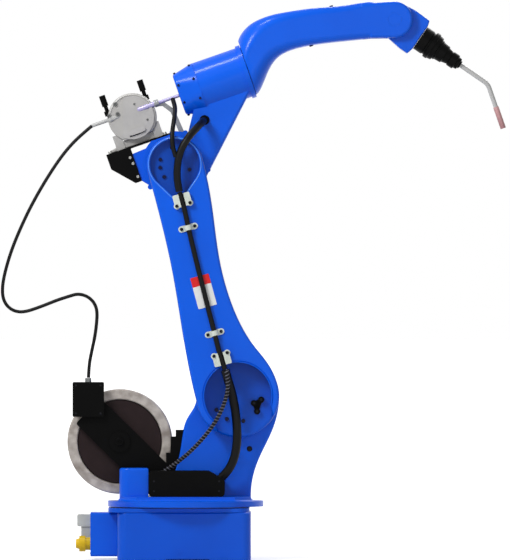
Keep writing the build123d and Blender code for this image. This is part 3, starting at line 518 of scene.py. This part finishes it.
reducer_places = on_lower_arm(*[(x, shoulder_floor_mm, z) for x, z in reducer_ring])
screws("shoulder_reducer_screws", "lower_arm", blue_screw, reducer_places, (0, -1, 0), 7.5, 7.0)
elbow_floor_mm = arm_near_mm + ELBOW_HOLLOW
elbow_screw_places = on_lower_arm(*[(x, elbow_floor_mm, arm_length_mm + z) for x, z in ELBOW_SCREWS])
screws("elbow_reducer_screws", "lower_arm", blue_screw, elbow_screw_places, (0, -1, 0), 7.0, 6.0)
buffer_places = on_lower_arm(*[(x, shoulder_floor_mm - BUFFER_HEIGHT, z) for x, z in BUFFERS])
screws("buffer_screws", "lower_arm", dark_screw, buffer_places, (0, -1, 0), 5.0, 2.0)

# Rims of the two hollows: the casting's machined edge, rounded over. The elbow's bead is pale blue, a painted
# highlight along the rounded edge; the shoulder's is in the arm's own blue. Each is one bead along its hollow's
# outline: a drop round two circles at the elbow, an arc at the shoulder.
def line_frames(line):
    """Two unit directions square to each point's tangent. The first leans as little as it can off +Y."""
    tangent = np.gradient(line, axis=0)
    tangent /= np.linalg.norm(tangent, axis=1)[:, None]
    side = np.array([0.0, 1.0, 0.0]) - tangent * tangent[:, 1:2]
    side /= np.linalg.norm(side, axis=1)[:, None]
    return side, np.cross(tangent, side)


def tube(name, line, radius, material, around=20):
    """A round tube with closed ends: each point is the line's, plus the radius times the cosine along one
    square direction and the sine along the other. Both end rings close to a point on the line."""
    side, other = line_frames(line)
    ring = rings(side, other, around)
    reach = np.full(len(line) + 4, radius)
    reach[[0, -1]] = 0.0
    reach[[1, -2]] = radius * 0.9
    take = np.clip(np.arange(-2, len(line) + 2), 0, len(line) - 1)
    points = line[take][:, None, :] + reach[:, None, None] * ring[take]
    outward = ring_faces(len(take), around)[:, [1, 0, 3, 2]]
    return mesh_piece(name, points.reshape(-1, 3), outward, material, 60.0)


ELBOW_CIRCLES = ((0.0, 0.0, 92.5), (-18.0, -112.0, 18.5))
SHOULDER_RIM = 120.5
BEAD_RADIUS = 2.0
BEAD_SINK = 0.6


def drop_outline(circles, steps=160):
    """Points of the line drawn tight round some circles: in each direction, the circle that reaches furthest
    gives its centre plus its radius times that direction. The straight sides are filled in evenly."""
    turn = np.linspace(0.0, 2 * np.pi, steps + 1) + 0.5 * np.pi
    direction = np.stack([np.cos(turn), np.sin(turn)], axis=1)
    middle = np.array(circles)[:, :2]
    radius = np.array(circles)[:, 2]
    furthest = np.argmax(direction @ middle.T + radius, axis=1)
    rough = middle[furthest] + radius[furthest][:, None] * direction
    run = np.concatenate([[0.0], np.cumsum(np.linalg.norm(np.diff(rough, axis=0), axis=1))])
    even = np.linspace(0.0, run[-1], 2 * steps)
    return np.stack([np.interp(even, run, rough[:, axis]) for axis in (0, 1)], axis=1)


# Painted highlight: the elbow bead is pale blue where light would catch its rounded edge.
rim_painted_highlight = Finish("rim_painted_highlight", roughness=0.2, specular_ior_level=0.35)
rim_highlight_blue = rim_painted_highlight.tint(rim_painted_highlight.noise(14.0), srgb(96, 160, 244), srgb(30, 104, 226))
rim_painted_highlight.set("base color", rim_highlight_blue)
bead_y = arm_near_mm + BEAD_SINK
elbow_rim = [(x, bead_y, arm_length_mm + z) for x, z in drop_outline(ELBOW_CIRCLES)]
elbow_bead = tube("elbow_hollow_rim", on_lower_arm(*elbow_rim), BEAD_RADIUS * MM, rim_painted_highlight.material, 10)
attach(elbow_bead, "lower_arm")
SHOULDER_ARC = (-30.0, 210.0)
shoulder_turns = np.radians(np.linspace(*SHOULDER_ARC, 90))
shoulder_rim = [(SHOULDER_RIM * math.cos(a), bead_y, SHOULDER_RIM * math.sin(a)) for a in shoulder_turns]
shoulder_bead = tube("shoulder_hollow_rim", on_lower_arm(*shoulder_rim), BEAD_RADIUS * MM, arm_enamel, 10)
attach(shoulder_bead, "lower_arm")

# Arm cable: a black rubber-sheathed cable that runs up the arm's near face, held by four moulded clamps.
# Each clamp is off-white plastic on two dark screws.
def smooth_line(points):
    """Points read from a smooth open spline, in metres, whose control points are a cable's route."""
    curve = bpy.data.curves.new("route", "CURVE")
    curve.dimensions = "3D"
    curve.resolution_u = 14
    spline = curve.splines.new("NURBS")
    spline.points.add(len(points) - 1)
    for knot, place in zip(spline.points, points):
        knot.co = (*place, 1.0)
    spline.order_u = 3
    spline.use_endpoint_u = True
    holder = bpy.data.objects.new("route", curve)
    mesh = bpy.data.meshes.new_from_object(holder)
    line = np.empty(len(mesh.vertices) * 3)
    mesh.vertices.foreach_get("co", line)
    bpy.data.meshes.remove(mesh)
    bpy.data.objects.remove(holder)
    bpy.data.curves.remove(curve)
    return line.reshape(-1, 3)


cable_rubber = satin("cable_rubber", srgb(8, 8, 8), srgb(4, 4, 4), 0.4, level=0.13, grain=900.0)
ARM_CABLE_Y = -191.5
ARM_CABLE_RADIUS = 9.0
arm_cable_route = [(-19, 103.7), (-23, 150), (-21, 240), (-18, 440), (-13, 618), (-8, 690), (-10, 748)]
arm_cable_line = smooth_line(on_lower_arm(*[(x, ARM_CABLE_Y, z) for x, z in arm_cable_route]))
arm_cable = tube("arm_cable_tube", arm_cable_line, ARM_CABLE_RADIUS * MM, cable_rubber)
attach(arm_cable, "lower_arm")
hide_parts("arm_cable")
dress(satin("clamp_white", srgb(214, 220, 210), srgb(184, 194, 186), 0.46, level=0.35),
      "cable_clamp_1", "cable_clamp_2", "cable_clamp_3", "cable_clamp_4")
CLAMP_EAR_SPREAD = 24.0
CLAMP_EAR_ALONG = 16.0
SPLIT_EAR_Y = -198.0
BRIDGE_EAR_Y = -184.0
split_clamps = ((-8, 718, -1), (-20, 142, 1))
bridge_clamps = ((-13.5, 619), (-21, 236))
ear_screws = [(x + side * CLAMP_EAR_SPREAD, SPLIT_EAR_Y, z + end * CLAMP_EAR_ALONG)
              for x, z, end in split_clamps for side in (-1, 1)]
ear_screws += [(x + side * CLAMP_EAR_SPREAD, BRIDGE_EAR_Y, z) for x, z in bridge_clamps for side in (-1, 1)]
screws("clamp_screws", "lower_arm", dark_screw, on_lower_arm(*ear_screws), (0, -1, 0), 6.0, 4.0)

# Blank plate: a thin white plastic label plate with a plain red band across its top third.
# It is glued to the paint near the middle of the arm, behind the cable.
PLATE_X = -20
PLATE_Z = 388
plate_middle = on_lower_arm((PLATE_X, arm_near_mm, PLATE_Z))[0]
plate_up = arm_up / np.linalg.norm(arm_up)
BAND_FROM = 0.022
BAND_TO = 0.060
plate_finish = Finish("blank_plate_white", roughness=0.42, specular_ior_level=0.3)
along_plate = (plate_finish.part(0) - plate_middle[0]) * plate_up[0]
along_plate = along_plate + (plate_finish.part(2) - plate_middle[2]) * plate_up[2]
band = along_plate.above(BAND_FROM) * (1.0 - along_plate.above(BAND_TO))
plate_white = plate_finish.tint(plate_finish.noise(30.0), srgb(226, 228, 226), srgb(208, 210, 210))
plate_finish.set("base color", plate_finish.tint(band, plate_white, srgb(206, 22, 26)))
dress(plate_finish.material, "blank_plate")

# Elbow: one casting with a hub on the arm's axis, a web and a round barrel for the forearm's drive.
# A blue cover closes the barrel's back, and a black servo motor stands on the far side.
dress(arm_enamel, "elbow_casting", "drive_cover")
dress(motor_black, "elbow_motor")
forearm_dir = np.array(joints["forearm_roll"]["axis"])
on_elbow = drawn_in(elbow_point, forearm_dir)
forearm_axis_mm = 228.4
COVER_BACK = (94.0, 73.0, 40.0)
COVER_FRONT = (172.0, 92.0, 84.0)
COVER_SCREW_XS = (103.0, 161.0)
cover_turns = np.radians(np.arange(8) * 45.0 + 22.5)
cover_places, cover_axes = [], []
for screw_x in COVER_SCREW_XS:
    share = (screw_x - COVER_BACK[0]) / (COVER_FRONT[0] - COVER_BACK[0])
    half, corner = (back + (front - back) * share for back, front in zip(COVER_BACK[1:], COVER_FRONT[1:]))
    # Reach of a rounded square: the corner arc's middle stands off by half less corner along both sides.
    off = half - corner
    lean = (np.abs(np.cos(cover_turns)) + np.abs(np.sin(cover_turns))) * off
    reach = lean + np.sqrt(lean ** 2 + corner ** 2 - 2 * off ** 2)
    flat = half / np.maximum(np.abs(np.cos(cover_turns)), np.abs(np.sin(cover_turns)))
    reach = np.minimum(reach, flat)
    cover_places += [(screw_x, far * math.cos(turn), forearm_axis_mm + far * math.sin(turn))
                     for turn, far in zip(cover_turns, reach)]
    cover_axes += [on_elbow((0, math.cos(turn), math.sin(turn)))[0] - elbow_point for turn in cover_turns]
screws("drive_cover_screws", "elbow", blue_screw, on_elbow(*cover_places), cover_axes, 4.5, 4.0)
ELBOW_MOTOR_SCREWS_AT = 0.058
elbow_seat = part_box("elbow_motor")[0].y + MOTOR_FLANGE
motor_screws("elbow_motor_screws", "elbow", "elbow_motor", (0, 1, 0), elbow_seat, ELBOW_MOTOR_SCREWS_AT, 3.5)

# Wire feeder: a black steel shelf bolted to the casting's back carries a grey die-cast gearbox that pushes
# the wire. Its door hangs on the near side, with two black pressure levers above and a motor behind.
dress(bracket_black, "feeder_bracket", "feeder_motor", "rear_lever", "front_lever")
FEEDER_CENTRE = (-88.0, 207.0)
feeder_grey = Finish("feeder_grey", metallic=0.15, specular_ior_level=0.35)
feeder_drift = feeder_grey.noise(16.0, 3.0)
feeder_grey.set("base color", feeder_grey.tint(feeder_drift, srgb(174, 172, 169), srgb(148, 147, 146)))
feeder_grey.set("roughness", 0.38 + feeder_drift * 0.12)
feeder_grey.bump(feeder_grey.noise(420.0, 3.0), 0.00012)
dress(feeder_grey.material, "feeder_body")
dress(satin("feeder_door", srgb(176, 174, 172), srgb(150, 149, 149), 0.36, 0.15), "feeder_cover")
lilac_steel = satin("lilac_steel", srgb(172, 166, 202), srgb(136, 130, 172), 0.34, 0.4)
dress(lilac_steel, "outlet_tube")
dress(satin("inlet_grey", srgb(176, 176, 174), srgb(146, 147, 148), 0.38, 0.2), "feeder_inlet")
dress(satin("strap_grey", srgb(150, 152, 154), srgb(112, 114, 118), 0.32, 0.4), "tube_bracket")


def block(name, corners, material, edge):
    """A solid between two rings of corners, near and far, with its edges rounded by a Bevel modifier."""
    count = len(corners) // 2
    mesh = bpy.data.meshes.new(name)
    ring = list(range(count))
    sides = [(i, (i + 1) % count, count + (i + 1) % count, count + i) for i in ring]
    ends = [tuple(reversed(ring)), tuple(count + i for i in ring)]
    mesh.from_pydata([tuple(corner) for corner in corners], [], ends + sides)
    mesh.materials.append(material)
    piece = link(bpy.data.objects.new(name, mesh))
    rounding = piece.modifiers.new("edges", "BEVEL")
    rounding.width = edge
    rounding.segments = 3
    return piece


FEEDER_FOOT = ((-206, 112), (-206, 120), (-180, 124), (-160, 138), (-20, 138), (-6, 124), (6, 120), (6, 112))
FOOT_HALF = 36.0
foot_corners = [(x, y, z) for y in (-FOOT_HALF, FOOT_HALF) for x, z in FEEDER_FOOT]
feeder_foot = block("feeder_foot", on_elbow(*foot_corners), feeder_grey.material, 3.0 * MM)
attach(feeder_foot, "elbow")
FEEDER_NEAR = -50.0
DOOR_NEAR = -55.0
GUSSET_NEAR = -64.0
RIDGE_RADIUS = 80.0
RIDGE_ARC = (12.0, 150.0)
centre_x, centre_z = FEEDER_CENTRE
ridge_turns = np.radians(np.linspace(*RIDGE_ARC, 50))
ridge = [(centre_x + RIDGE_RADIUS * math.cos(a), FEEDER_NEAR, centre_z + RIDGE_RADIUS * math.sin(a))
         for a in ridge_turns]
# Painted highlight: the raised rim is real, and its grey is lighter than the body's to stand for light along
# it.
ridge_highlight_grey = satin("ridge_highlight_grey", srgb(192, 191, 188), srgb(168, 167, 165), 0.3, 0.1)
feeder_ridge = tube("feeder_ridge", on_elbow(*ridge), 3.0 * MM, ridge_highlight_grey, 10)
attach(feeder_ridge, "elbow")
# Painted shadow: a dark grey strip along the foot of the door's latch, where its shadow falls.
LATCH_SHADOW_LINE = ((-118.0, -55.4, 145.5), (-90.0, -55.4, 144.8), (-60.0, -55.4, 147.5))
slot_grey = satin("slot_grey", srgb(66, 65, 65), srgb(48, 48, 48), 0.5, level=0.1)
painted_latch_shadow = tube("painted_latch_shadow", on_elbow(*LATCH_SHADOW_LINE), 2.4 * MM, slot_grey, 10)
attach(painted_latch_shadow, "elbow")


def lathe(name, origin, direction, profile, material, around=28):
    """A profile turned round an axis: each point is the origin, plus the distance along the axis, plus the
    radius times the cosine and sine along two square directions. Distances and radii are in metres."""
    along = np.array(direction, float) / np.linalg.norm(direction)
    side = np.cross(along, (0.1, 1.0, 0.3))
    side /= np.linalg.norm(side)
    other = np.cross(along, side)
    steps, reach = np.array(profile, float).T
    ring = rings(side[None, :], other[None, :], around)
    points = np.array(origin) + steps[:, None, None] * along + reach[:, None, None] * ring
    return mesh_piece(name, points.reshape(-1, 3), ring_faces(len(steps), around), material)


NOZZLE_PROFILE = ((-64, 0), (-64, 6.5), (-58, 10), (-30, 11), (-24, 11.5), (-24, 9.5), (4, 9.5), (4, 0))
NOZZLE_START = (0, -48, 226)
nozzle_start = on_elbow(NOZZLE_START)[0]
guide_nozzle = lathe("guide_nozzle", nozzle_start, forearm_dir, MM * np.array(NOZZLE_PROFILE), lilac_steel)
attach(guide_nozzle, "elbow")
grey_screw = satin("grey_screw", srgb(104, 105, 104), srgb(78, 79, 80), 0.4, 0.4)
rim_places = ((-130, FEEDER_NEAR, 271), (-164, FEEDER_NEAR, 238), (-133, FEEDER_NEAR, 235))
screws("feeder_rim_screws", "elbow", grey_screw, on_elbow(*rim_places), (0, -1, 0), 7.5, 6.0)
door_places = ((-66, DOOR_NEAR, 249), (-40, DOOR_NEAR, 182))
screws("feeder_door_screws", "elbow", grey_screw, on_elbow(*door_places), (0, -1, 0), 4.0, 3.0)
gusset_places = [(x, GUSSET_NEAR, z) for x, z in ((-142, 75), (-139, 52), (-138, 3))]
screws("gusset_screws", "elbow", zinc_screw, on_elbow(*gusset_places), (0, -1, 0), 5.0, 4.0)
SHELF_TOP = 112.0
shelf_up = on_elbow((0, 0, 1))[0] - elbow_point
shelf_places = [(-203, -34, SHELF_TOP), (-203, 34, SHELF_TOP), (2, -44, SHELF_TOP), (2, 44, SHELF_TOP)]
screws("shelf_screws", "elbow", zinc_screw, on_elbow(*shelf_places), shelf_up, 7.0, 9.0)

# Drive seal: a black rubber ring in the gap between the drive's flange and the forearm that turns on it.
# It stays with the elbow's casting and closes the slit between the two.
SEAL_PROFILE = ((350.0, 72.0), (350.0, 88.0), (353.6, 88.0), (353.6, 72.0))
seal_start = on_elbow((0, 0, forearm_axis_mm))[0]
drive_seal = lathe("drive_seal", seal_start, forearm_dir, MM * np.array(SEAL_PROFILE), rubber, 64)
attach(drive_seal, "elbow")

# Forearm: a long arched aluminium casting that turns on the drive's flange and ends in a fork for the wrist.
# It is painted with the arm, and two lifting-eye holes are closed by blue screws.
dress(arm_enamel, "forearm_casting")
forearm_up = shelf_up
screws("forearm_top_screw", "forearm", blue_screw, on_elbow((705, -30, 344)), forearm_up, 7.0, 6.0)
screws("forearm_under_screw", "forearm", blue_screw, on_elbow((593, -40, 242)), -forearm_up, 7.0, 6.0)

# Wrist: a short painted block between the fork's cheeks, on a pin that ends flush with them.
# It is cast and painted as the forearm is.
dress(arm_enamel, "wrist_block")

# Torch: a black moulded collision mount and cone, bolted to the wrist, and a bent steel neck.
# A copper gas nozzle is screwed on the neck's end, and heat has browned it towards its tip.
dress(satin("torch_black", srgb(5, 5, 5), srgb(3, 3, 3), 0.42, level=0.06), "torch_mount")
dress(satin("neck_steel", srgb(190, 190, 189), srgb(168, 168, 168), 0.45, 0.1), "torch_neck")
copper = Finish("nozzle_copper", metallic=0.35)
nozzle_low, nozzle_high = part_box("torch_nozzle")
nozzle_drop = nozzle_high.z - nozzle_low.z
burnt = copper.part(2) * (-1.0 / nozzle_drop) + nozzle_high.z / nozzle_drop
copper.set("base color", copper.tint(burnt, srgb(190, 146, 146), srgb(146, 104, 108)))
copper.set("roughness", 0.30 + copper.noise(60.0, 3.0) * 0.2)
dress(copper.material, "torch_nozzle")

# Supply cable: a thick black cable that leaves the cable box, loops up past the shoulder and meets the arm's
# cable at the lowest clamp. A thinner cable in a spiral wrap hangs beside it.
SUPPLY_RADIUS = 15.5
SPIRAL_RADIUS = 6.5
WRAP_RADIUS = 1.7
WRAP_PITCH = 12.0
WRAP_LIFT = 0.2
WRAP_STEPS_A_TURN = 16
shoulder_cable_route = [(-44.8, -197.5, 92.8), (-39, -195, 71), (-31, -182, 45), (-22, -167, 15),
                        (-14, -158, -21), (-7, -156, -64), (-2.5, -156, -117), (-3, -151, -169),
                        (-13, -142, -223), (-36, -132, -267), (-69, -124, -299)]
spiral_cable_route = [(-41, -221, 93), (-36, -219, 69), (-35, -212, 33), (-42, -205, -9), (-61, -199, -58),
                      (-91, -193, -109), (-127, -180, -153), (-167, -159, -195), (-210, -139, -231),
                      (-242, -131, -254), (-274, -128, -274)]


def line_run(line):
    """The length along a line from its first point to each point."""
    return np.concatenate([[0.0], np.cumsum(np.linalg.norm(np.diff(line, axis=0), axis=1))])


def from_point(origin, route):
    """A route given in millimetres from a point, as places in the whole arm's metres."""
    return np.array(origin) + MM * np.array(route, float)


def turned_along(name, line, reach, pitch, radius, material):
    """A thin strand wound round a line: its middle is the line's point, plus the reach times the cosine and
    sine of an angle that grows by a whole turn in each pitch, along the line's two square directions."""
    run = line_run(line)
    steps = np.linspace(0.0, run[-1], int(run[-1] / pitch * WRAP_STEPS_A_TURN))
    side, other = line_frames(line)
    side, other, middle = (np.stack([np.interp(steps, run, values[:, axis]) for axis in range(3)], axis=1)
                           for values in (side, other, line))
    angle = (steps / pitch * 2 * np.pi)[:, None]
    return tube(name, middle + reach * (side * np.cos(angle) + other * np.sin(angle)), radius, material, 8)


def bend_between(piece, cad_node):
    """Bakes the cable's place into its mesh, and hides the plain solid that it stands for, if one is given."""
    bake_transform(piece)
    if cad_node:
        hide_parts(cad_node)


supply_line = smooth_line(from_point(shoulder_point, shoulder_cable_route))
supply_cable = tube("supply_cable", supply_line, SUPPLY_RADIUS * MM, cable_rubber, 28)
bend_between(supply_cable, "shoulder_cable")
spiral_line = smooth_line(from_point(shoulder_point, spiral_cable_route))
spiral_cable = tube("spiral_cable_tube", spiral_line, SPIRAL_RADIUS * MM, cable_rubber, 16)
bend_between(spiral_cable, "spiral_cable")
wrap_grey = satin("spiral_wrap", srgb(112, 112, 124), srgb(60, 60, 72), 0.4, level=0.4)
wrap_reach = (SPIRAL_RADIUS + WRAP_LIFT) * MM
spiral_wrap = turned_along("spiral_wrap", spiral_line, wrap_reach, WRAP_PITCH * MM, WRAP_RADIUS * MM, wrap_grey)
bend_between(spiral_wrap, None)

# Elbow cable: the same kind of cable, from the top clamp on the lower arm over the elbow and into its casting.
# The wire feeder's lead joins it on the elbow.
ELBOW_CABLE_RADIUS = 13.0
LEAD_RADIUS = 8.0
elbow_cable_route = [(16.1, -197.5, -96.8), (8, -199, -58), (8, -199, -14), (14, -199, 28), (28, -200, 64),
                     (49, -197, 96), (70, -172, 120), (88, -134, 140), (99, -96, 152), (104, -50, 158)]
lead_route = [(68, -46, 222), (68, -60, 208), (66, -88, 188), (58, -128, 168), (47, -164, 145), (32, -188, 117),
              (20, -196, 87), (12, -198, 56), (12, -199, 22)]
elbow_line = smooth_line(from_point(elbow_point, elbow_cable_route))
elbow_cable = tube("elbow_cable_tube", elbow_line, ELBOW_CABLE_RADIUS * MM, cable_rubber, 28)
bend_between(elbow_cable, "elbow_cable")
WEB_NEAR = -0.062
GLAND_PROFILE = ((0.0, 0.0175), (-0.005, 0.0175), (-0.007, 0.015), (-0.007, 0.012), (0.002, 0.012))
GLAND_FROM_ELBOW = (104.0, 0.0, 157.0)
gland_place = elbow_point + MM * np.array(GLAND_FROM_ELBOW)
gland_place[1] = WEB_NEAR
cable_gland = lathe("cable_gland", gland_place, (0, 1, 0), GLAND_PROFILE, rubber)
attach(cable_gland, "elbow")
lead = tube("feeder_lead_tube", smooth_line(on_elbow(*lead_route)), LEAD_RADIUS * MM, cable_rubber)
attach(lead, "elbow")
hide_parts("feeder_lead")

# Wire conduit: a long black plastic-lined hose that feeds the welding wire from the spool's outlet to the
# feeder. It hangs free in one loop behind the arm, in two lengths end to end.
CONDUIT_RADIUS = 6.0
INLET_X = -232.0
WIRE_Y = -46.0
WIRE_Z = 226.0
conduit_upper_route = [(12, 24, 887), (-21, 23, 860), (-63, 21, 820), (-104, 18, 769), (-153, 15, 694),
                       (-202, 12, 608), (-240, 10, 528), (-272, 8, 450), (-295, 6, 372), (-299.5, 5, 345)]
conduit_lower_route = [(-299.5, 5, 345), (-304, 4, 318), (-301, 3, 280), (-285, 2, 252), (-258, 1, 235),
                       (-224, 0, 233), (-170, -2, 251), (-108, -3, 276), (-67, -3, 289), (-37, -3, 298),
                       (-4, -2, 290), (20, -1, 269), (32, 0, 239), (30, 1, 193), (23, 2, 142), (12, 1, 93),
                       (3, 0, 46), (1, 0, 1)]
fitting_low, fitting_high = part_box("outlet_fitting")
fitting_middle = (fitting_low + fitting_high) / 2
outlet_point = np.array([fitting_middle.x, fitting_middle.y, fitting_high.z])
inlet_point = on_elbow((INLET_X, WIRE_Y, WIRE_Z))[0]
upper_places = from_point(outlet_point, conduit_upper_route)
fade = np.linspace(1.0, 0.0, len(upper_places))[:, None]
upper_line = smooth_line(upper_places + fade * (inlet_point - upper_places[0]))
lower_line = smooth_line(from_point(outlet_point, conduit_lower_route))
conduit_ends = {"conduit_lower": ("turret", "lower_arm", lower_line[::-1]),
                "conduit_upper": ("lower_arm", "elbow", upper_line[::-1])}
for name, (below, above, line) in conduit_ends.items():
    hose = tube(name + "_tube", line, CONDUIT_RADIUS * MM, cable_rubber)
    bend_between(hose, name)
